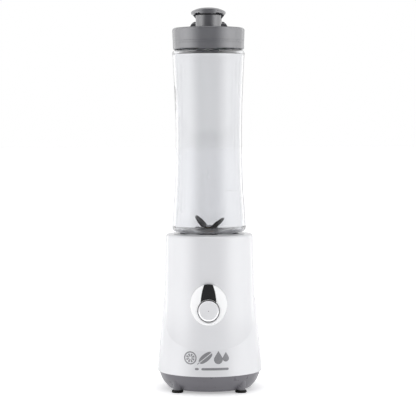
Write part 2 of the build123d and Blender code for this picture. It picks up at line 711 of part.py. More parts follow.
with BuildPart() as board_components:
    with Locations((4.5, 33.2, 59.5)):
        Box(14.0, 7.6, 11.0)
    fillet(edges().filter_by(Axis.Y), 0.6)
    with Locations((-7.5, 35.2, 72.0)):
        Box(9.0, 3.6, 9.0)
    with BuildSketch(Plane.XZ.offset(-37.0)):
        with Locations((-6.5, 84.5)):
            Circle(3.6)
    extrude(amount=5.0)
    with Locations((6.0, 36.0, 72.0)):
        Box(6.0, 2.0, 2.4)
board_components.part.label = "board_components"

with BuildPart() as board_screws:
    for x, z in ((-10, 60), (10, 84)):
        with BuildSketch(Plane.XZ.offset(-37.0)):
            with Locations((x, z)):
                Circle(2.0)
        extrude(amount=1.3)
        with BuildSketch(Plane.XZ.offset(-37.0)):
            with Locations((x, z)):
                Circle(0.95)
        extrude(amount=-4.6)
board_screws.part.label = "board_screws"

# ================================================================ coupling and interlock
# ---- drive coupler on the motor shaft: umbrella disc with three dogs
with BuildPart() as drive_coupler:
    with BuildSketch(Plane.XZ):
        with BuildLine():
            Polyline((SHAFT_R, 124.5), (4.4, 124.5), (4.4, 133.4), (13.2, 133.4), (13.2, 131.5), (14.6, 131.5), (14.6, 136.0), (14.0, 136.6), (SHAFT_R, 136.6), close=True)
        make_face()
    revolve(axis=Axis.Z)
    for k in (30, 150, 270):
        with BuildSketch(Plane.XY.offset(136.5)):
            with BuildLine():
                a0, a1 = math.radians(k - 14), math.radians(k + 14)
                Polyline((0, 0), (40 * math.cos(a0), 40 * math.sin(a0)), (40 * math.cos(a1), 40 * math.sin(a1)), close=True)
            make_face()
            Circle(14.2, mode=Mode.INTERSECT)
            Circle(7.0, mode=Mode.SUBTRACT)
        extrude(amount=4.6)
drive_coupler.part.label = "drive_coupler"

# ---- driven coupler under the blade unit
with BuildPart() as driven_coupler:
    with BuildSketch(Plane.XZ):
        with BuildLine():
            Polyline((SHAFT_R, 141.6), (14.2, 141.6), (14.2, 143.8), (13.6, 144.4), (SHAFT_R, 144.4), close=True)
        make_face()
    revolve(axis=Axis.Z)
    for k in (90, 210, 330):
        with BuildSketch(Plane.XY.offset(137.1)):
            with BuildLine():
                a0, a1 = math.radians(k - 14), math.radians(k + 14)
                Polyline((0, 0), (40 * math.cos(a0), 40 * math.sin(a0)), (40 * math.cos(a1), 40 * math.sin(a1)), close=True)
            make_face()
            Circle(14.2, mode=Mode.INTERSECT)
            Circle(7.0, mode=Mode.SUBTRACT)
        extrude(amount=4.6)
    with BuildSketch(Plane.XY.offset(139.0)):
        Circle(5.2)
        Circle(SHAFT_R, mode=Mode.SUBTRACT)
    extrude(amount=3.0)
driven_coupler.part.label = "driven_coupler"

# ---- cam ring that turns with the blade unit and works the interlock
with BuildPart() as interlock_ring:
    with BuildSketch(Plane.XY.offset(WELL_FLOOR + 0.15)):
        Circle(32.2)
        Circle(25.5, mode=Mode.SUBTRACT)
    extrude(amount=4.05)
    for k in (90, 210, 330):
        with BuildSketch(Plane.XY.offset(134.8)):
            with BuildLine():
                a0, a1 = math.radians(k - 12), math.radians(k + 12)
                Polyline((0, 0), (60 * math.cos(a0), 60 * math.sin(a0)), (60 * math.cos(a1), 60 * math.sin(a1)), close=True)
            make_face()
            Circle(31.4, mode=Mode.INTERSECT)
            Circle(28.8, mode=Mode.SUBTRACT)
        extrude(amount=3.5)
    # cam pocket in the underside; the ring turns clockwise seen from above
    with BuildSketch(Plane(origin=(PX * 31 / 29, PY * 31 / 29, 0), x_dir=(PY, -PX, 0), z_dir=(-PX, -PY, 0))):
        with BuildLine():
            Polyline((3.0, 130.0), (3.0, 133.75), (-0.2, 133.75), (-13.6, 131.0), (-13.6, 130.0), close=True)
        make_face()
    extrude(amount=7.5, mode=Mode.SUBTRACT)
interlock_ring.part.label = "interlock_ring"

with BuildPart() as interlock_plunger:
    with BuildSketch(Plane(origin=(PX, PY, 0), x_dir=(1, 0, 0), z_dir=(0, -1, 0))):
        with BuildLine():
            Polyline((0, 119.6), (1.0, 119.6), (1.0, 122.6), (2.6, 122.6), (2.6, 123.6), (1.6, 123.6), (1.6, 132.2), (0.9, 133.1), (0, 133.1), close=True)
        make_face()
    revolve(axis=Axis((PX, PY, 0), (0, 0, 1)))
interlock_plunger.part.label = "interlock_plunger"

with BuildPart() as interlock_switch:
    with Locations(Location((PX, PY, 115.7), (0, 0, INTERLOCK_A))):
        Box(12.8, 5.8, 3.6, align=(Align.CENTER, Align.CENTER, Align.MIN))
    with Locations((PX, PY, 116.6)):
        Cylinder(1.15, 6, align=(Align.CENTER, Align.CENTER, Align.MIN), mode=Mode.SUBTRACT)
interlock_switch.part.label = "interlock_switch"

with BuildPart() as interlock_spring:
    with BuildLine() as coil:
        Helix(pitch=1.0, height=2.6, radius=1.95, center=(PX, PY, 119.6), direction=(0, 0, 1))
    with BuildSketch(Plane(origin=coil.line @ 0, z_dir=coil.line % 0)) as wire:
        Circle(0.22)
    sweep(sections=wire.sketch, path=coil.line, is_frenet=True)
interlock_spring.part.label = "interlock_spring"

# ================================================================ blade unit
with BuildLine() as holder_helix:
    Helix(pitch=LEAD, height=LEAD * 100 / 360, radius=29.0, center=(0, 0, 145.2))
with BuildPart() as holder_ridge:
    with BuildSketch(Plane.XZ):
        with BuildLine():
            Polyline(*[(29.0 - x, 145.2 + y) for x, y in THREAD], close=True)
        make_face()
    sweep(path=holder_helix.line, is_frenet=True)

# ---- holder: skirt, bottle channel, raised floor, bushing boss, bayonet lugs, inner thread
with BuildPart() as blade_holder:
    with BuildSketch(Plane.XZ):
        with BuildLine():
            Polyline(
                (5.0, 145.2),
                (8.0, 145.2),
                (9.0, 153.3),
                (21.9, 153.3),
                (21.9, CHANNEL_Z - 3.0),
                (28.3, CHANNEL_Z - 3.0),
                (28.3, HOLDER_Z),
                (HOLDER_R - 0.4, HOLDER_Z),
                (HOLDER_R, HOLDER_Z + 0.4),
                (HOLDER_R, HOLDER_TOP - 0.6),
                (HOLDER_R - 0.6, HOLDER_TOP),
                (29.8, HOLDER_TOP),
                (29.2, HOLDER_TOP - 0.6),
                (29.2, CHANNEL_Z),
                (PLUG_R, CHANNEL_Z),
                (PLUG_R, PLUG_TOP - 0.8),
                (PLUG_R - 0.8, PLUG_TOP),
                (9.5, PLUG_TOP),
                (8.0, 157.8),
                (5.0, 157.8),
                close=True,
            )
        make_face()
    revolve(axis=Axis.Z)
    for k in (-30, 90, 210):
        with BuildSketch(Plane.XY.offset(142.4)):
            with BuildLine():
                a0, a1 = math.radians(k - 12), math.radians(k + 12)
                Polyline((0, 0), (60 * math.cos(a0), 60 * math.sin(a0)), (60 * math.cos(a1), 60 * math.sin(a1)), close=True)
            make_face()
            Circle(34.4, mode=Mode.INTERSECT)
            Circle(30.5, mode=Mode.SUBTRACT)
        extrude(amount=4.0)
        with BuildSketch(Plane.XY.offset(HOLDER_Z - 1)):
            with BuildLine():
                a0, a1 = math.radians(k - 13), math.radians(k + 13)
                Polyline((0, 0), (60 * math.cos(a0), 60 * math.sin(a0)), (60 * math.cos(a1), 60 * math.sin(a1)), close=True)
            make_face()
            Circle(33.0, mode=Mode.INTERSECT)
            Circle(28.0, mode=Mode.SUBTRACT)
        extrude(amount=4.6, mode=Mode.SUBTRACT)
    with PolarLocations(0, 3):
        add(holder_ridge.part)
blade_holder.part.label = "blade_holder"

# ---- white ring on the holder's rim that covers the well and the bayonet slots
with BuildPart() as deck_ring:
    with BuildSketch(Plane.XZ):
        with BuildLine():
            Polyline(
                (28.75, 153.6),
                (29.3, HOLDER_TOP),
                (31.2, HOLDER_TOP),
                (31.6, HOLDER_TOP + 0.4),
                (31.6, BASE_TOP + 0.12),
                (35.2, BASE_TOP + 0.12),
                (35.4, BASE_TOP + 0.3),
                (35.1, BASE_TOP + 0.62),
                (29.4, BASE_TOP + 0.7),
                (28.75, BASE_TOP + 0.4),
                close=True,
            )
        make_face()
    revolve(axis=Axis.Z)
deck_ring.part.label = "deck_ring"

with BuildPart() as blade_bushing:
    with Locations((0, 0, 145.2)):
        Cylinder(5.0, 11.3, align=(Align.CENTER, Align.CENTER, Align.MIN))
        Cylinder(SHAFT_R + RUN, 11.3, align=(Align.CENTER, Align.CENTER, Align.MIN), mode=Mode.SUBTRACT)
blade_bushing.part.label = "blade_bushing"

with BuildPart() as shaft_seal:
    with BuildSketch(Plane.XZ):
        with BuildLine():
            Polyline((SHAFT_R + 0.05, 156.5), (5.0, 156.5), (5.0, 158.0), (4.2, 158.15), (SHAFT_R + 0.05, 157.7), close=True)
        make_face()
    revolve(axis=Axis.Z)
shaft_seal.part.label = "shaft_seal"

with BuildPart() as blade_shaft:
    with BuildSketch(Plane.XZ):
        with BuildLine():
            Polyline((0, 138.6), (2.6, 138.6), (SHAFT_R, 139.0), (SHAFT_R, 158.3), (2.5, 158.3), (2.5, 162.8), (2.2, 163.1), (0, 163.1), close=True)
        make_face()
    revolve(axis=Axis.Z)
blade_shaft.part.label = "blade_shaft"

with BuildPart() as thrust_washers:
    with Locations((0, 0, 144.45)):
        Cylinder(5.5, 0.65, align=(Align.CENTER, Align.CENTER, Align.MIN))
        Cylinder(SHAFT_R, 0.65, align=(Align.CENTER, Align.CENTER, Align.MIN), mode=Mode.SUBTRACT)
    with Locations((0, 0, 158.3)):
        Cylinder(4.95, 0.8, align=(Align.CENTER, Align.CENTER, Align.MIN))
        Cylinder(2.5, 0.8, align=(Align.CENTER, Align.CENTER, Align.MIN), mode=Mode.SUBTRACT)
thrust_washers.part.label = "thrust_washers"

BLADE_T = 1.2
UP_TURN, LOW_TURN = 141.0, 51.0  # direction of one wing of each blade, degrees from +X
with BuildPart() as upper_blade:
    with BuildSketch(Plane.XY.offset(160.3)):
        Rectangle(13.0, 9.4, rotation=UP_TURN)
    extrude(amount=BLADE_T)
    for turn, lift in ((UP_TURN, 44.0), (UP_TURN + 180, 38.0)):
        a = math.radians(turn)
        wing = Plane(origin=(5.6 * math.cos(a), 5.6 * math.sin(a), 160.3), x_dir=(math.cos(a) * math.cos(math.radians(lift)), math.sin(a) * math.cos(math.radians(lift)), math.sin(math.radians(lift))), z_dir=(-math.cos(a) * math.sin(math.radians(lift)), -math.sin(a) * math.sin(math.radians(lift)), math.cos(math.radians(lift))))
        with BuildSketch(wing):
            with BuildLine():
                Polyline((-0.6, -4.7), (-0.6, 4.7), (7.0, 4.8), (14.0, 3.3), (16.2, 1.2), (15.6, -1.0), (9.0, -3.9), close=True)
            make_face()
        extrude(amount=BLADE_T)
        # bevelled cutting edge
        with BuildSketch(Plane(origin=wing.origin, x_dir=wing.y_dir, z_dir=wing.x_dir)):
            with BuildLine():
                Polyline((5.2, 1.3), (2.4, 1.3), (5.2, 0.35), close=True)
            make_face()
        extrude(amount=17.0, mode=Mode.SUBTRACT)
    with Locations((0, 0, 160.3)):
        Cylinder(12.0, 6, align=(Align.CENTER, Align.CENTER, Align.MAX), mode=Mode.SUBTRACT)
    with Locations((0, 0, 158)):
        Cylinder(2.5, 10, align=(Align.CENTER, Align.CENTER, Align.MIN), mode=Mode.SUBTRACT)
upper_blade.part.label = "upper_blade"

with BuildPart() as lower_blade:
    with BuildSketch(Plane.XY.offset(159.1)):
        Rectangle(13.0, 9.4, rotation=LOW_TURN)
    extrude(amount=BLADE_T)
    for turn, lift in ((LOW_TURN, -7.0), (LOW_TURN + 180, 9.0)):
        a = math.radians(turn)
        wing = Plane(origin=(5.6 * math.cos(a), 5.6 * math.sin(a), 159.1), x_dir=(math.cos(a) * math.cos(math.radians(lift)), math.sin(a) * math.cos(math.radians(lift)), math.sin(math.radians(lift))), z_dir=(-math.cos(a) * math.sin(math.radians(lift)), -math.sin(a) * math.sin(math.radians(lift)), math.cos(math.radians(lift))))
        with BuildSketch(wing):
            with BuildLine():
                Polyline((-0.6, -4.7), (-0.6, 4.7), (7.0, 4.8), (13.2, 3.5), (14.8, 1.4), (13.8, -1.4), (9.0, -4.0), close=True)
            make_face()
        extrude(amount=BLADE_T)
        with BuildSketch(Plane(origin=wing.origin, x_dir=wing.y_dir, z_dir=wing.x_dir)):
            with BuildLine():
                Polyline((5.2, 1.3), (2.4, 1.3), (5.2, 0.35), close=True)
            make_face()
        extrude(amount=17.0, mode=Mode.SUBTRACT)
    with Locations((0, 0, 160.3)):
        Cylinder(8.5, 4, align=(Align.CENTER, Align.CENTER, Align.MIN), mode=Mode.SUBTRACT)
    with Locations((0, 0, 155)):
        Cylinder(2.5, 10, align=(Align.CENTER, Align.CENTER, Align.MIN), mode=Mode.SUBTRACT)
lower_blade.part.label = "lower_blade"

with BuildPart() as blade_nut:
    with BuildSketch(Plane.XY.offset(161.5)):
        RegularPolygon(4.4, 6)
    extrude(amount=1.3)
    chamfer(faces().sort_by(Axis.Z)[-1].edges(), 0.3)
    with Locations((0, 0, 161)):
        Cylinder(2.5, 4.1, align=(Align.CENTER, Align.CENTER, Align.MIN), mode=Mode.SUBTRACT)
blade_nut.part.label = "blade_nut"

# ================================================================ bottle
with BuildPart() as bottle_seal:
    with BuildSketch(Plane.XY.offset(CHANNEL_Z)):
        Circle(28.9)
        Circle(24.6, mode=Mode.SUBTRACT)
    extrude(amount=2.0)
bottle_seal.part.label = "bottle_seal"

with BuildLine() as top_helix:
    Helix(pitch=LEAD, height=LEAD * 100 / 360, radius=NECK_TOP_R, center=(0, 0, 346.4))
with BuildPart() as top_ridge:
    with BuildSketch(Plane.XZ):
        with BuildLine():
            Polyline(*[(NECK_TOP_R + x, 346.4 + y) for x, y in THREAD], close=True)
        make_face()
    sweep(path=top_helix.line, is_frenet=True)
with BuildLine() as low_helix:
    Helix(pitch=LEAD, height=LEAD * 100 / 360, radius=NECK_LOW_R, center=(0, 0, 147.2))
with BuildPart() as low_ridge:
    with BuildSketch(Plane.XZ):
        with BuildLine():
            Polyline(*[(NECK_LOW_R + x, 147.2 + y) for x, y in THREAD], close=True)
        make_face()
    sweep(path=low_helix.line, is_frenet=True)
with BuildPart() as fill_mark:
    with BuildSketch(Plane.XZ):
        with BuildLine():
            Polyline((33.2, 198.0), (34.62, 198.15), (34.62, 198.75), (33.2, 198.9), close=True)
        make_face()
    revolve(axis=Axis.Z, revolution_arc=30)
with BuildPart() as front_ledge:
    with BuildSketch(Plane.XZ):
        with BuildLine():
            Polyline((34.6, 332.6), (36.1, 332.9), (36.55, 333.7), (36.55, 335.3), (36.1, 335.9), (34.6, 336.1), close=True)
        make_face()
    revolve(axis=Axis.Z, revolution_arc=35)

OUT_PTS = [(36.6, 161.2), (36.3, 165.5), (35.4, 181.0), (34.3, 196.0), (33.5, 214.0), (33.05, 236.0), (33.0, 256.0), (33.3, 276.0), (33.95, 292.0), (34.9, 314.0), (35.6, 328.0), (36.0, 333.3)]
with BuildPart() as bottle:
    with BuildSketch(Plane.XZ):
        with BuildLine():
            Polyline((NECK_LOW_R, 154.9), (NECK_LOW_R, BOTTLE_LOW + 0.5), (NECK_LOW_R - 0.5, BOTTLE_LOW), (25.4, BOTTLE_LOW), (24.9, BOTTLE_LOW + 0.5), (24.9, 156.4))
            Spline((24.9, 156.4), (26.2, 157.2), (30.2, 157.9), (33.2, 159.6), (34.4, 162.6))
            Spline((34.4, 162.6), (34.05, 168.0), (33.2, 181.0), (32.1, 196.0), (31.3, 214.0), (30.85, 236.0), (30.8, 256.0), (31.1, 276.0), (31.75, 292.0), (32.7, 314.0), (33.4, 328.0), (33.75, 332.4))
            Spline((33.75, 332.4), (33.2, 334.3), (31.2, 336.0), (28.8, 337.0))
            Polyline((28.8, 337.0), (28.6, 338.0), (28.6, BOTTLE_TOP - 0.5), (29.1, BOTTLE_TOP), (NECK_TOP_R - 0.5, BOTTLE_TOP), (NECK_TOP_R, BOTTLE_TOP - 0.5), (NECK_TOP_R, 338.2))
            Spline((NECK_TOP_R, 338.2), (33.6, 337.35), (35.3, 335.8), (36.0, 333.3))
            Spline(*reversed(OUT_PTS))
            Spline((36.6, 161.2), (35.9, 158.6), (33.6, 156.8), (30.2, 155.9), (NECK_LOW_R, 154.9))
        make_face()
    revolve(axis=Axis.Z)
    # upper and lower screw threads
    with PolarLocations(0, 3):
        add(top_ridge.part)
        add(low_ridge.part)
    # raised fill mark right of the front, and the ledge under the lid's tab
    with Locations(Location((0, 0, 0), (0, 0, -66))):
        add(fill_mark.part)
    with Locations(Location((0, 0, 0), (0, 0, -90 - 17.5))):
        add(front_ledge.part)
bottle.part.label = "bottle"

# ================================================================ lid
with BuildPart() as lid_seal:
    with BuildSketch(Plane.XY.offset(BOTTLE_TOP + 0.05)):
        Circle(33.2)
        Circle(28.4, mode=Mode.SUBTRACT)
    extrude(amount=1.9)
lid_seal.part.label = "lid_seal"

with BuildLine() as lid_helix:
    Helix(pitch=LEAD, height=LEAD * 100 / 360, radius=33.3, center=(0, 0, 344.4))
with BuildPart() as lid_ridge:
    with BuildSketch(Plane.XZ):
        with BuildLine():
            Polyline(*[(33.3 - x, 344.4 + y) for x, y in THREAD], close=True)
        make_face()
    sweep(path=lid_helix.line, is_frenet=True)
# grip tab on the front of the skirt
with BuildPart() as lid_tab:
    with BuildSketch(Plane.XZ.offset(30)):
        with BuildLine():
            Polyline((-10.6, 340.2), (-10.0, 338.6), (-8.4, 336.9), (8.4, 336.9), (10.0, 338.6), (10.6, 340.2), close=True)
        make_face()
    extrude(amount=10)
    with BuildSketch(Plane.XY.offset(330)):
        Circle(35.25)
        Circle(34.35, mode=Mode.SUBTRACT)
    extrude(amount=20, mode=Mode.INTERSECT)
# hinge ears behind the spout, rounded on their outer shoulders
with BuildPart() as lid_ears:
    for side in (1, -1):
        with BuildSketch(Plane.XZ.offset(-18.2)):
            with BuildLine():
                ear_top = Spline(*[(side * x, z) for x, z in ((13.2, 366.8), (15.9, 365.7), (17.8, 363.6), (19.0, 360.8), (19.4, 357.6))])
                Polyline(ear_top @ 1, (side * 13.2, 357.6), ear_top @ 0)
            make_face()
        extrude(amount=-7.7)
    with BuildSketch(Plane.YZ.offset(-25)):
        with BuildLine():
            Polyline((18.2, 357.0), (18.2, HINGE_Z))
            ThreePointArc((18.2, HINGE_Z), (HINGE_Y, HINGE_Z + 3.8), (25.8, HINGE_Z))
            Polyline((25.8, HINGE_Z), (25.9, 357.0), (18.2, 357.0))
        make_face()
    extrude(amount=50, mode=Mode.INTERSECT)

with BuildPart() as lid:
    with BuildSketch(Plane.XZ):
        with BuildLine():
            Polyline(
                (10.4, 355.5),
                (33.4, 355.5),
                (33.4, LID_LOW + 0.6),
                (34.0, LID_LOW),
                (34.9, LID_LOW),
                (35.3, LID_LOW + 0.5),
                (35.44, 343.5),
                (35.33, 343.6),
                (35.33, 344.0),
                (35.46, 344.1),
                (35.5, 345.5),
                (35.39, 345.6),
                (35.39, 346.0),
                (35.54, 346.1),
                (36.0, 356.4),
                (35.7, 357.6),
                (34.6, LID_TOP),
                (SPOUT_R + 1.2, LID_TOP),
                (SPOUT_R + 0.3, LID_TOP + 0.4),
                (SPOUT_R, LID_TOP + 1.3),
                (SPOUT_R, SPOUT_TOP - 0.6),
                (SPOUT_R - 0.6, SPOUT_TOP),
                (10.9, SPOUT_TOP),
                (10.4, SPOUT_TOP - 0.5),
                close=True,
            )
        make_face()
    revolve(axis=Axis.Z)
    add(lid_tab.part)
    add(lid_ears.part)
    with BuildSketch(Plane.YZ.offset(-25)):
        with Locations((HINGE_Y, HINGE_Z)):
            Circle(1.5)
    extrude(amount=50, mode=Mode.SUBTRACT)
    with PolarLocations(0, 3):
        add(lid_ridge.part)
lid.part.label = "lid"

with BuildPart() as hinge_pin:
    with BuildSketch(Plane.YZ.offset(-17.4)):
        with Locations((HINGE_Y, HINGE_Z)):
            Circle(1.5)
    extrude(amount=34.8)
    chamfer(edges().filter_by(GeomType.CIRCLE), 0.3)
hinge_pin.part.label = "hinge_pin"

# ---- flip stopper: arched disc, front thumb tab, hinge arm, plug
with BuildPart() as stopper_arm:
    with BuildSketch(Plane.YZ.offset(-20)):
        with BuildLine():
            Polyline((12.9, 375.0), (17.4, 374.9), (20.4, 373.2), (24.8, 367.4), (HINGE_Y + 3.0, HINGE_Z))
            ThreePointArc((HINGE_Y + 3.0, HINGE_Z), (HINGE_Y, HINGE_Z - 3.0), (HINGE_Y - 3.0, HINGE_Z))
            Polyline((HINGE_Y - 3.0, HINGE_Z), (HINGE_Y - 3.0, 368.4), (15.6, 372.2), (12.9, 373.4), (12.9, 375.0))
        make_face()
    extrude(amount=40)
    with BuildSketch(Plane.XZ):
        with BuildLine():
            Polyline((-12.8, 355.0), (12.8, 355.0), (12.8, 369.4), (15.6, 372.6), (15.6, 380.0), (-15.6, 380.0), (-15.6, 372.6), (-12.8, 369.4), close=True)
        make_face()
    extrude(amount=-40, mode=Mode.INTERSECT)

with BuildPart() as thumb_tab:
    with BuildSketch(Plane.XY.offset(372.3)):
        Circle(17.6)
        Circle(15.2, mode=Mode.SUBTRACT)
    extrude(amount=4.2)
    with BuildSketch(Plane.XZ.offset(10)):
        with BuildLine():
            Polyline((-7.6, 372.0), (7.6, 372.0), (8.8, 374.0), (8.8, 377.0), (-8.8, 377.0), (-8.8, 374.0), close=True)
        make_face()
    extrude(amount=10, mode=Mode.INTERSECT)

with BuildPart() as stopper:
    with BuildSketch(Plane.XZ):
        with BuildLine():
            Spline((0, 379.2), (6.0, 378.8), (11.0, 377.8), (15.0, 376.2), (16.6, 375.2), (17.25, 374.1))
            Polyline((17.25, 374.1), (17.15, 373.0), (16.6, 371.9), (15.6, 371.6), (0, 371.6), (0, 379.2))
        make_face()
    revolve(axis=Axis.Z)
    # the underside arches up from the two sides towards the middle
    with BuildSketch(Plane.XZ.offset(-30)):
        with BuildLine():
            ThreePointArc((-19.0, 371.55), (0, 373.75), (19.0, 371.55))
            Polyline((19.0, 371.55), (19.0, 369.0), (-19.0, 369.0), (-19.0, 371.55))
        make_face()
    extrude(amount=60, mode=Mode.SUBTRACT)
    add(thumb_tab.part)
    add(stopper_arm.part)
    with BuildSketch(Plane.YZ.offset(-25)):
        with Locations((HINGE_Y, HINGE_Z)):
            Circle(1.55)
    extrude(amount=50, mode=Mode.SUBTRACT)
    # seat of the plug
    with Locations((0, 0, 376.2)):
        Cylinder(6.0, 10.0, align=(Align.CENTER, Align.CENTER, Align.MAX), mode=Mode.SUBTRACT)
stopper.part.label = "stopper"

with BuildPart() as stopper_plug:
    with BuildSketch(Plane.XZ):
        with BuildLine():
            Polyline((0, 376.2), (6.0, 376.2), (6.0, 373.0), (9.9, 372.6), (9.9, 371.9), (9.4, 371.0), (8.3, 369.3), (7.4, 369.0), (0, 369.0), close=True)
        make_face()
    revolve(axis=Axis.Z)
stopper_plug.part.label = "stopper_plug"

# ---------------------------------------------------------------- export
for piece in (
    base_housing, base_cover, rubber_feet, cover_screws, cord_gland,
    button_bezel, button_inlay, button_body, button_face, button_spring, power_switch, power_switch_plunger,
    stator_core, field_coils, motor_shaft, rotor_core, rotor_windings, commutator, cooling_fan,
    upper_bearing, lower_bearing, upper_bracket, lower_bracket, motor_bolts, brush_holders, carbon_brushes, brush_springs,
    motor_mounts, mount_screws, circuit_board, board_components, board_screws,
    drive_coupler, driven_coupler, interlock_ring, interlock_plunger, interlock_switch, interlock_spring,
    blade_holder, deck_ring, blade_bushing, shaft_seal, blade_shaft, thrust_washers, upper_blade, lower_blade, blade_nut,
    bottle_seal, bottle, lid_seal, lid, hinge_pin, stopper, stopper_plug,
):
    export_step(piece.part, f"parts/{piece.part.label}.step")
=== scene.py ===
import json
import math

import bmesh
import bpy
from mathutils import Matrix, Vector
from mathutils.bvhtree import BVHTree


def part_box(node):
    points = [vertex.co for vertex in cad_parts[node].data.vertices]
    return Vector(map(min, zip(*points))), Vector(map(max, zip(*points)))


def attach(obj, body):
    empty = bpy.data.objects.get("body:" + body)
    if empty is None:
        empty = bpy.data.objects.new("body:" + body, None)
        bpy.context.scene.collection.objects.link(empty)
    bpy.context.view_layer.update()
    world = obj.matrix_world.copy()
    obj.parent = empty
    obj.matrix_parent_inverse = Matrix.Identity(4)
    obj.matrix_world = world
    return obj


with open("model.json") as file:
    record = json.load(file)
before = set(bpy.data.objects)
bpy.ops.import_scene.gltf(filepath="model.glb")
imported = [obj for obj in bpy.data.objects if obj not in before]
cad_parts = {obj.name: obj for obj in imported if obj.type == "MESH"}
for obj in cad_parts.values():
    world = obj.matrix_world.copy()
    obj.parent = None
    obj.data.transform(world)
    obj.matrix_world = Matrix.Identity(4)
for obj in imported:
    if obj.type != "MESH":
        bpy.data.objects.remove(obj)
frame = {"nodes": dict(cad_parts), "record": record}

MM = 0.001
NODES = frame["nodes"]
scene = bpy.context.scene
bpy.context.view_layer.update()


# ------------------------------------------------------------------ node helpers
def material(name):
    m = bpy.data.materials.new(name)
    m.use_nodes = True
    nt = m.node_tree
    return m, nt, nt.nodes["Principled BSDF"]


def node(nt, kind, **values):
    n = nt.nodes.new(kind)
    for k, v in values.items():
        if hasattr(n, k):
            setattr(n, k, v)
        else:
            n.inputs[k].default_value = v
    return n


def coords(nt, stretch=None):
    tc = node(nt, "ShaderNodeTexCoord")
    if stretch is None:
        return tc.outputs["Object"]
    mp = node(nt, "ShaderNodeMapping")
    mp.inputs["Scale"].default_value = stretch
    nt.links.new(tc.outputs["Object"], mp.inputs["Vector"])
    return mp.outputs["Vector"]


def noise(nt, vec, scale, detail=3.0, rough=0.5):
    n = node(nt, "ShaderNodeTexNoise")
    n.inputs["Scale"].default_value = scale
    n.inputs["Detail"].default_value = detail
    n.inputs["Roughness"].default_value = rough
    nt.links.new(vec, n.inputs["Vector"])
    return n.outputs["Fac"]


def ranged(nt, fac, lo, hi, frm=0.3, to=0.7):
    r = node(nt, "ShaderNodeMapRange")
    r.inputs["From Min"].default_value = frm
    r.inputs["From Max"].default_value = to
    r.inputs["To Min"].default_value = lo
    r.inputs["To Max"].default_value = hi
    nt.links.new(fac, r.inputs["Value"])
    return r.outputs["Result"]


def mixed(nt, fac, a, b):
    m = node(nt, "ShaderNodeMix")
    m.data_type = "RGBA"
    m.inputs["A"].default_value = (*a, 1)
    m.inputs["B"].default_value = (*b, 1)
    nt.links.new(fac, m.inputs["Factor"])
    return m.outputs["Result"]


def bump(nt, height, strength, distance, normal=None):
    b = node(nt, "ShaderNodeBump")
    b.inputs["Strength"].default_value = strength
    b.inputs["Distance"].default_value = distance
    nt.links.new(height, b.inputs["Height"])
    if normal is not None:
        nt.links.new(normal, b.inputs["Normal"])
    return b.outputs["Normal"]


def shade(c, k):
    return tuple(min(1.0, v * k) for v in c)


def plastic(name, col, rough=(0.2, 0.26), coat=0.0, coat_rough=0.1, grain=(900, 0.05, 0.00002), spec=0.5, vary=0.03, wave=True):
    """Moulded plastic: slow colour drift, uneven gloss, fine tool grain and a very slight mould waviness."""
    m, nt, b = material(name)
    vec = coords(nt)
    slow = noise(nt, vec, 28.0, 3.0)
    fine = noise(nt, vec, grain[0], 3.0, 0.6)
    nt.links.new(mixed(nt, ranged(nt, slow, 0, 1), shade(col, 1 - vary), shade(col, 1 + vary)), b.inputs["Base Color"])
    nt.links.new(ranged(nt, noise(nt, vec, 160.0, 4.0), rough[0], rough[1]), b.inputs["Roughness"])
    n = bump(nt, fine, grain[1], grain[2])
    if wave:
        n = bump(nt, noise(nt, vec, 60.0, 1.0), 0.05, 0.00010, n)
    nt.links.new(n, b.inputs["Normal"])
    b.inputs["Specular IOR Level"].default_value = spec
    b.inputs["Coat Weight"].default_value = coat
    b.inputs["Coat Roughness"].default_value = coat_rough
    return m


def metal(name, col, rough=(0.2, 0.3), stretch=(400, 400, 400), strength=0.12, aniso=0.0, vary=0.08):
    """Metal with directional scratches: stretch sets how long the marks are along each axis."""
    m, nt, b = material(name)
    vec = coords(nt, stretch)
    fine = noise(nt, vec, 1.0, 4.0, 0.65)
    slow = noise(nt, coords(nt), 90.0, 3.0)
    nt.links.new(mixed(nt, ranged(nt, slow, 0, 1), shade(col, 1 - vary), shade(col, 1 + vary)), b.inputs["Base Color"])
    nt.links.new(ranged(nt, fine, rough[0], rough[1]), b.inputs["Roughness"])
    nt.links.new(bump(nt, fine, strength, 0.00003), b.inputs["Normal"])
    b.inputs["Metallic"].default_value = 1.0
    b.inputs["Anisotropic"].default_value = aniso
    return m


def rubber(name, col, rough=(0.55, 0.75), grain=1400):
    m, nt, b = material(name)
    vec = coords(nt)
    fine = noise(nt, vec, grain, 4.0, 0.7)
    slow = noise(nt, vec, 45.0, 3.0)
    nt.links.new(mixed(nt, ranged(nt, slow, 0, 1), shade(col, 0.85), shade(col, 1.25)), b.inputs["Base Color"])
    nt.links.new(ranged(nt, fine, rough[0], rough[1]), b.inputs["Roughness"])
    nt.links.new(bump(nt, fine, 0.25, 0.00004), b.inputs["Normal"])
    b.inputs["Specular IOR Level"].default_value = 0.35
    return m


# ------------------------------------------------------------------ materials
white = plastic("white_plastic", (0.74, 0.74, 0.755), (0.15, 0.21), grain=(700, 0.03, 0.00002), spec=0.42, vary=0.006)
bezel_white = plastic("bezel_white", (0.95, 0.95, 0.95), (0.30, 0.38), grain=(1200, 0.05, 0.00002), vary=0.005)
# painted light: a faint white emission makes the bezel glow brighter than the light falling on it gives, like a
# painted highlight
bezel_painted_glow = bezel_white.node_tree.nodes["Principled BSDF"]
bezel_painted_glow.inputs["Emission Color"].default_value = (1, 1, 1, 1)
bezel_painted_glow.inputs["Emission Strength"].default_value = 0.05
cover_grey = plastic("cover_grey", (0.133, 0.129, 0.144), (0.26, 0.36), grain=(1500, 0.15, 0.00003), spec=0.55, vary=0.03, wave=False)
lid_grey = plastic("lid_grey", (0.118, 0.118, 0.128), (0.20, 0.27), grain=(1100, 0.05, 0.00002), spec=0.6, vary=0.025)
black_gloss = plastic("black_gloss", (0.006, 0.006, 0.007), (0.08, 0.14), grain=(900, 0.03, 0.00002), spec=0.22, vary=0.1)
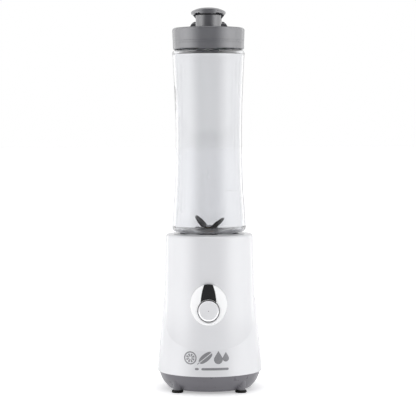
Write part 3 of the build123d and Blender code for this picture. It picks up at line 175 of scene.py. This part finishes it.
black_plastic = plastic("black_plastic", (0.025, 0.025, 0.027), (0.35, 0.5), grain=(1500, 0.3, 0.00003), vary=0.1, wave=False)
component_black = plastic("component_black", (0.03, 0.03, 0.032), (0.4, 0.6), grain=(1800, 0.35, 0.00003), vary=0.15, wave=False)
coupler_plastic = plastic("coupler_plastic", (0.045, 0.045, 0.05), (0.32, 0.45), grain=(1500, 0.2, 0.00003), vary=0.1, wave=False)
black_rubber = rubber("black_rubber", (0.004, 0.004, 0.004))
black_rubber.node_tree.nodes["Principled BSDF"].inputs["Specular IOR Level"].default_value = 0.12
grey_rubber = rubber("grey_rubber", (0.10, 0.10, 0.105))
carbon = rubber("carbon", (0.03, 0.03, 0.032), (0.4, 0.6), 2400)
steel = metal("steel", (0.56, 0.56, 0.57), (0.14, 0.30), (300, 2600, 2600), 0.10)
# painted reflection: a near-black copy of the steel, whose darkness stands in for the dark surroundings the blades
# reflect
blade_steel_painted_dark = metal("blade_steel_painted_dark", (0.055, 0.052, 0.055), (0.18, 0.32), (300, 2600, 2600), 0.12)
zinc_steel = metal("zinc_steel", (0.62, 0.62, 0.64), (0.22, 0.36), (900, 900, 900), 0.10)
bronze = metal("bronze", (0.50, 0.33, 0.16), (0.3, 0.5), (1800, 1800, 1800), 0.3)
commutator_copper = metal("commutator_copper", (0.72, 0.36, 0.20), (0.2, 0.35), (300, 300, 4000), 0.15)


def silicone():
    m, nt, b = material("silicone")
    vec = coords(nt)
    nt.links.new(mixed(nt, ranged(nt, noise(nt, vec, 60.0), 0, 1), (0.60, 0.60, 0.60), (0.68, 0.68, 0.67)), b.inputs["Base Color"])
    nt.links.new(ranged(nt, noise(nt, vec, 500.0), 0.35, 0.5), b.inputs["Roughness"])
    nt.links.new(bump(nt, noise(nt, vec, 900.0), 0.1, 0.00003), b.inputs["Normal"])
    b.inputs["Subsurface Weight"].default_value = 0.2
    b.inputs["Subsurface Scale"].default_value = 0.002
    return m


def laminations():
    """Stacked steel sheets: thin dark gaps every half millimetre up the stack."""
    m, nt, b = material("laminations")
    wave = node(nt, "ShaderNodeTexWave")
    wave.wave_type, wave.bands_direction, wave.wave_profile = "BANDS", "Z", "SIN"
    wave.inputs["Scale"].default_value = 320.0
    wave.inputs["Distortion"].default_value = 0.4
    wave.inputs["Detail"].default_value = 2.0
    nt.links.new(coords(nt), wave.inputs["Vector"])
    nt.links.new(mixed(nt, wave.outputs["Fac"], (0.10, 0.10, 0.11), (0.34, 0.34, 0.35)), b.inputs["Base Color"])
    nt.links.new(ranged(nt, noise(nt, coords(nt), 300.0), 0.3, 0.55), b.inputs["Roughness"])
    nt.links.new(bump(nt, wave.outputs["Fac"], 0.4, 0.0001), b.inputs["Normal"])
    b.inputs["Metallic"].default_value = 0.9
    return m


def copper_wire():
    """Enamelled wire laid in turns."""
    m, nt, b = material("copper")
    wave = node(nt, "ShaderNodeTexWave")
    wave.wave_type, wave.bands_direction, wave.wave_profile = "BANDS", "DIAGONAL", "SIN"
    wave.inputs["Scale"].default_value = 330.0
    wave.inputs["Distortion"].default_value = 1.2
    wave.inputs["Detail"].default_value = 1.0
    wave.inputs["Detail Scale"].default_value = 2.0
    nt.links.new(coords(nt), wave.inputs["Vector"])
    nt.links.new(mixed(nt, wave.outputs["Fac"], (0.20, 0.055, 0.02), (0.62, 0.24, 0.09)), b.inputs["Base Color"])
    nt.links.new(ranged(nt, noise(nt, coords(nt), 400.0), 0.18, 0.34), b.inputs["Roughness"])
    nt.links.new(bump(nt, wave.outputs["Fac"], 0.8, 0.0002), b.inputs["Normal"])
    b.inputs["Metallic"].default_value = 0.85
    b.inputs["Coat Weight"].default_value = 0.4
    return m


def solder_mask():
    m, nt, b = material("board")
    brick = node(nt, "ShaderNodeTexBrick")
    brick.inputs["Scale"].default_value = 180.0
    brick.inputs["Mortar Size"].default_value = 0.06
    brick.inputs["Color1"].default_value = (0.010, 0.085, 0.030, 1)
    brick.inputs["Color2"].default_value = (0.012, 0.100, 0.036, 1)
    brick.inputs["Mortar"].default_value = (0.020, 0.160, 0.060, 1)
    mp = node(nt, "ShaderNodeMapping")
    mp.inputs["Rotation"].default_value = (math.radians(90), 0, 0)
    nt.links.new(coords(nt), mp.inputs["Vector"])
    nt.links.new(mp.outputs["Vector"], brick.inputs["Vector"])
    nt.links.new(brick.outputs["Color"], b.inputs["Base Color"])
    nt.links.new(bump(nt, brick.outputs["Fac"], 0.3, 0.00003), b.inputs["Normal"])
    nt.links.new(ranged(nt, noise(nt, coords(nt), 300.0), 0.25, 0.4), b.inputs["Roughness"])
    return m


def spun_face():
    """Turned disc: fine concentric tool rings round the button's own axis, a small dark centre, and a painted shadow:
    a dark band at the outer edge that stands in for the shade in the gap round the button.
    """
    m, nt, b = material("spun_metal")
    lo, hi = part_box("button_face")
    cx, cz = (lo.x + hi.x) / 2, (lo.z + hi.z) / 2
    sep = node(nt, "ShaderNodeSeparateXYZ")
    nt.links.new(coords(nt), sep.inputs[0])
    dx = node(nt, "ShaderNodeMath", operation="SUBTRACT")
    dx.inputs[1].default_value = cx
    nt.links.new(sep.outputs["X"], dx.inputs[0])
    dz = node(nt, "ShaderNodeMath", operation="SUBTRACT")
    dz.inputs[1].default_value = cz
    nt.links.new(sep.outputs["Z"], dz.inputs[0])
    com = node(nt, "ShaderNodeCombineXYZ")
    nt.links.new(dx.outputs[0], com.inputs[0])
    nt.links.new(dz.outputs[0], com.inputs[1])
    ln = node(nt, "ShaderNodeVectorMath", operation="LENGTH")
    nt.links.new(com.outputs[0], ln.inputs[0])
    rings = node(nt, "ShaderNodeTexNoise")
    rings.noise_dimensions = "1D"
    rings.inputs["Scale"].default_value = 5200.0
    rings.inputs["Detail"].default_value = 2.0
    nt.links.new(ln.outputs["Value"], rings.inputs["W"])
    core = node(nt, "ShaderNodeMath", operation="GREATER_THAN")
    core.inputs[1].default_value = 0.00042
    nt.links.new(ln.outputs["Value"], core.inputs[0])
    # painted shadow: beyond this radius the face is coloured near-black, standing in for the shade in the gap round
    # the button
    gap_shadow_mask = node(nt, "ShaderNodeMath", operation="LESS_THAN")
    gap_shadow_mask.inputs[1].default_value = 0.01012
    nt.links.new(ln.outputs["Value"], gap_shadow_mask.inputs[0])
    disc_col = mixed(nt, ranged(nt, rings.outputs["Fac"], 0, 1), (0.62, 0.62, 0.635), (0.72, 0.72, 0.73))
    painted_gap_shadow = node(nt, "ShaderNodeMix")
    painted_gap_shadow.data_type = "RGBA"
    painted_gap_shadow.inputs["A"].default_value = (0.045, 0.045, 0.048, 1)
    nt.links.new(disc_col, painted_gap_shadow.inputs["B"])
    nt.links.new(gap_shadow_mask.outputs[0], painted_gap_shadow.inputs["Factor"])
    face_and_gap_shadow = painted_gap_shadow.outputs["Result"]
    mx = node(nt, "ShaderNodeMix")
    mx.data_type = "RGBA"
    mx.inputs["A"].default_value = (0.12, 0.12, 0.12, 1)
    nt.links.new(face_and_gap_shadow, mx.inputs["B"])
    nt.links.new(core.outputs[0], mx.inputs["Factor"])
    nt.links.new(mx.outputs["Result"], b.inputs["Base Color"])
    nt.links.new(ranged(nt, rings.outputs["Fac"], 0.40, 0.52), b.inputs["Roughness"])
    nt.links.new(bump(nt, rings.outputs["Fac"], 0.10, 0.00003), b.inputs["Normal"])
    b.inputs["Metallic"].default_value = 0.85
    return m


def clear_plastic():
    """Clear copolyester: slightly grey, with faint flow lines and hairline surface wear."""
    m, nt, b = material("clear_plastic")
    vec = coords(nt, (60, 60, 6))
    flow = noise(nt, vec, 1.0, 2.0)
    wear = noise(nt, coords(nt), 350.0, 4.0)
    nt.links.new(ranged(nt, wear, 0.015, 0.045), b.inputs["Roughness"])
    nt.links.new(bump(nt, flow, 0.04, 0.0004), b.inputs["Normal"])
    nt.links.new(mixed(nt, ranged(nt, flow, 0, 1), (0.762, 0.767, 0.782), (0.777, 0.782, 0.797)), b.inputs["Base Color"])
    b.inputs["Transmission Weight"].default_value = 1.0
    b.inputs["IOR"].default_value = 1.48
    return m


def print_ink():
    m, nt, b = material("print_ink")
    vec = coords(nt)
    nt.links.new(mixed(nt, ranged(nt, noise(nt, vec, 700.0), 0, 1), (0.20, 0.20, 0.21), (0.23, 0.23, 0.24)), b.inputs["Base Color"])
    nt.links.new(ranged(nt, noise(nt, vec, 900.0), 0.35, 0.5), b.inputs["Roughness"])
    return m


MATS = {
    "white_plastic": white, "bezel_white": bezel_white, "cover_grey": cover_grey, "lid_grey": lid_grey,
    "black_rubber": black_rubber, "grey_rubber": grey_rubber, "black_gloss": black_gloss, "black_plastic": black_plastic,
    "spun_metal": spun_face(), "steel": steel, "zinc_steel": zinc_steel, "laminations": laminations(), "copper": copper_wire(),
    "commutator_copper": commutator_copper, "carbon": carbon, "bronze": bronze, "board": solder_mask(),
    "component_black": component_black, "coupler_plastic": coupler_plastic, "silicone": silicone(), "clear_plastic": clear_plastic(),
}
INK = print_ink()

slots = {s["node"]: s["material_slot"] for s in frame["record"]["subparts"]}
# the two blades take the darkened steel copy, a painted dark reflection rather than their own colour
BLADES_PAINTED_DARK = ("upper_blade", "lower_blade")
for name, obj in NODES.items():
    obj.data.materials.clear()
    obj.data.materials.append(blade_steel_painted_dark if name in BLADES_PAINTED_DARK else MATS[slots[name]])

# ------------------------------------------------------------------ printed mark on the front of the skirt
# Generic fruit-and-leaf pictograms with a plain rule under them, as thin ink laid on the shell.
housing = NODES["base_housing"]
bvh = BVHTree.FromPolygons([v.co.copy() for v in housing.data.vertices], [tuple(p.vertices) for p in housing.data.polygons])


def arc(cx, cz, r, a0, a1, n):
    return [(cx + r * math.cos(math.radians(a0 + (a1 - a0) * i / n)), cz + r * math.sin(math.radians(a0 + (a1 - a0) * i / n))) for i in range(n + 1)]


def turned(pts, cx, cz, deg):
    c, s = math.cos(math.radians(deg)), math.sin(math.radians(deg))
    return [(cx + x * c - z * s, cz + x * s + z * c) for x, z in pts]


shapes = []
# citrus wheel
wx, wz = -18.0, 36.2
for k in range(24):
    a0, a1 = k * 15, (k + 1) * 15
    shapes.append(arc(wx, wz, 6.2, a0, a1, 3) + arc(wx, wz, 5.0, a1, a0, 3))
for k in range(8):
    a = k * 45 + 22.5
    seg = arc(0, 0, 4.2, -16, 16, 4) + [(3.6, 1.25), (1.1, 0.28), (1.1, -0.28), (3.6, -1.25)]
    seg = arc(0, 0, 4.2, -15, 15, 4) + [(1.1, 0.25), (1.1, -0.25)]
    shapes.append(turned(seg, wx, wz, a))
# leaf, in two halves with a clear midrib, and its stalk
half = [(7.6 * math.cos(math.pi * i / 14), 0.35 + 3.3 * math.sin(math.pi * i / 14) ** 0.85) for i in range(15)]
shapes.append(turned(half, -3.2, 36.6, 38))
shapes.append(turned([(x, -z) for x, z in reversed(half)], -3.2, 36.6, 38))
shapes.append(turned([(-10.2, -0.35), (-7.9, -0.35), (-7.9, 0.35), (-10.2, 0.35)], -3.2, 36.6, 38))
# two drops
for cx, cz, s in ((9.4, 34.9, 1.0), (16.6, 35.9, 0.72)):
    body = arc(0, 0, 4.3, -215, 35, 20)
    shapes.append([(cx + x * s, cz + z * s) for x, z in body + [(1.2, 6.2), (0, 8.2), (-1.2, 6.2)]])
# rules under the pictograms
for x0, x1, z in ((-13.5, -9.6, 25.9), (-7.2, 19.4, 25.9)):
    shapes.append(arc(x1 - 1.1, z, 1.1, -90, 90, 6) + arc(x0 + 1.1, z, 1.1, 90, 270, 6))

bm = bmesh.new()
for pts in shapes:
    vs = [bm.verts.new((x * MM, 0, z * MM)) for x, z in pts]
    bm.faces.new(vs)
bmesh.ops.triangulate(bm, faces=bm.faces[:])
for _ in range(4):
    long_edges = [e for e in bm.edges if e.calc_length() > 0.0012]
    if not long_edges:
        break
    bmesh.ops.subdivide_edges(bm, edges=long_edges, cuts=1)
    bmesh.ops.triangulate(bm, faces=[f for f in bm.faces if len(f.verts) > 3])
for v in bm.verts:
    hit, nrm, _, _ = bvh.ray_cast(Vector((v.co.x, -0.2, v.co.z)), Vector((0, 1, 0)))
    v.co = hit + nrm * 0.00003
bmesh.ops.recalc_face_normals(bm, faces=bm.faces[:])
if sum(f.normal.y for f in bm.faces) > 0:
    bmesh.ops.reverse_faces(bm, faces=bm.faces[:])
me = bpy.data.meshes.new("print_mark")
bm.to_mesh(me)
bm.free()
mark = bpy.data.objects.new("print_mark", me)
scene.collection.objects.link(mark)
for p in me.polygons:
    p.use_smooth = True
mark.data.materials.append(INK)
sol = mark.modifiers.new("ink", "SOLIDIFY")
sol.thickness = 0.00005
sol.offset = 1.0
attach(mark, "base")

# ------------------------------------------------------------------ stage, light, camera
ROLL = -0.24  # degrees, slight lean of the camera
YAW = math.radians(1.2)  # the camera stands a touch to the right of the front
KEY, GLOSS, TOP, SUN, AMBIENT = 6.0, 4.4, 22.0, 0.9, 0.44
REACH = 0.65
PANELS = ((28, 36, 0.14), (36, 44, 0.36), (44, 52, 0.62), (52, 61, 0.86), (61, 80, 1.0), (80, 96, 0.8), (96, 116, 0.5), (116, 148, 0.26))
bpy.ops.mesh.primitive_plane_add(size=40, location=(0, 0, 0))
floor = bpy.context.object
floor.name = "floor"
fm, nt, b = material("floor")
b.inputs["Base Color"].default_value = (0.94, 0.94, 0.94, 1)
b.inputs["Roughness"].default_value = 0.6
b.inputs["Specular IOR Level"].default_value = 0.3
b.inputs["Emission Color"].default_value = (1, 1, 1, 1)
b.inputs["Emission Strength"].default_value = 0.37
floor.data.materials.append(fm)

world = bpy.data.worlds.new("studio")
scene.world = world
world.use_nodes = True
wt = world.node_tree
wt.nodes.clear()
out = wt.nodes.new("ShaderNodeOutputWorld")
lp = wt.nodes.new("ShaderNodeLightPath")
tc = wt.nodes.new("ShaderNodeTexCoord")
sx = wt.nodes.new("ShaderNodeSeparateXYZ")
wt.links.new(tc.outputs["Generated"], sx.inputs[0])
ramp = wt.nodes.new("ShaderNodeValToRGB")
mr = wt.nodes.new("ShaderNodeMapRange")
mr.inputs["From Min"].default_value = -1
mr.inputs["From Max"].default_value = 1
wt.links.new(sx.outputs["Y"], mr.inputs["Value"])
wt.links.new(mr.outputs["Result"], ramp.inputs["Fac"])
ramp.color_ramp.elements[0].position = 0.04
ramp.color_ramp.elements[0].color = (0.22, 0.22, 0.225, 1)
ramp.color_ramp.elements[1].position = 0.62
ramp.color_ramp.elements[1].color = (1.0, 1.0, 1.0, 1)
bg_gloss = wt.nodes.new("ShaderNodeBackground")
wt.links.new(ramp.outputs["Color"], bg_gloss.inputs["Color"])
bg_gloss.inputs["Strength"].default_value = 1.04
bg_cam = wt.nodes.new("ShaderNodeBackground")
bg_cam.inputs["Color"].default_value = (1, 1, 1, 1)
bg_cam.inputs["Strength"].default_value = 1.0
bg_dif = wt.nodes.new("ShaderNodeBackground")
bg_dif.inputs["Color"].default_value = (0.96, 0.97, 1.0, 1)
bg_dif.inputs["Strength"].default_value = AMBIENT
m1 = wt.nodes.new("ShaderNodeMixShader")
m2 = wt.nodes.new("ShaderNodeMixShader")
wt.links.new(lp.outputs["Is Diffuse Ray"], m1.inputs[0])
wt.links.new(bg_gloss.outputs[0], m1.inputs[1])
wt.links.new(bg_dif.outputs[0], m1.inputs[2])
wt.links.new(lp.outputs["Is Camera Ray"], m2.inputs[0])
wt.links.new(m1.outputs[0], m2.inputs[1])
wt.links.new(bg_cam.outputs[0], m2.inputs[2])
wt.links.new(m2.outputs[0], out.inputs["Surface"])


def softbox(name, loc, aim, size, energy, diffuse=True, glossy=True):
    data = bpy.data.lights.new(name, "AREA")
    data.shape = "RECTANGLE"
    data.size, data.size_y = size
    data.energy = energy
    ob = bpy.data.objects.new(name, data)
    ob.location = loc
    ob.rotation_euler = (Vector(aim) - Vector(loc)).to_track_quat("-Z", "Y").to_euler()
    ob.visible_camera = False
    ob.visible_diffuse = diffuse
    ob.visible_glossy = glossy
    ob.visible_transmission = False
    scene.collection.objects.link(ob)
    return ob


for s in (-1, 1):
    side = "left" if s < 0 else "right"
    softbox("key_" + side, (s * 1.75, -0.60, 0.55), (0, 0, 0.2), (1.8, 1.8), KEY, True, False)
    # tall reflector panels standing on the table, fading towards the front and behind; angles run round from the front
    for k, (a0, a1, level) in enumerate(PANELS):
        mid, half = math.radians((a0 + a1) / 2), math.radians((a1 - a0) / 2)
        near, wide = REACH * math.cos(half), 2 * REACH * math.sin(half)
        softbox("gloss_%s_%d" % (side, k), (s * near * math.sin(mid), -near * math.cos(mid), 0.56), (0, 0, 0.56), (wide, 1.2), GLOSS * level * math.pi * wide * 1.2, False, True)
softbox("gloss_top", (0, -0.75, 1.75), (0, 0, 0.3), (1.6, 0.8), TOP, False, True)
sun_data = bpy.data.lights.new("overhead", "SUN")
sun_data.angle = math.radians(60)
sun_data.energy = SUN
sun = bpy.data.objects.new("overhead", sun_data)
sun.visible_glossy = False
sun.visible_transmission = False
scene.collection.objects.link(sun)

cam_data = bpy.data.cameras.new("camera")
cam_data.sensor_width = 36.0
cam_data.lens = 130.14
cam_data.clip_start, cam_data.clip_end = 0.05, 60
cam = bpy.data.objects.new("camera", cam_data)
cam.location = (1.5 * math.sin(YAW) - 0.0011, -1.5 * math.cos(YAW), 0.2579)
cam.rotation_euler = (math.radians(90 - 2.972), 0, YAW)
cam.rotation_euler.rotate_axis("Z", math.radians(ROLL))
scene.collection.objects.link(cam)
scene.camera = cam

scene.view_settings.view_transform = "Standard"
scene.view_settings.look = "None"
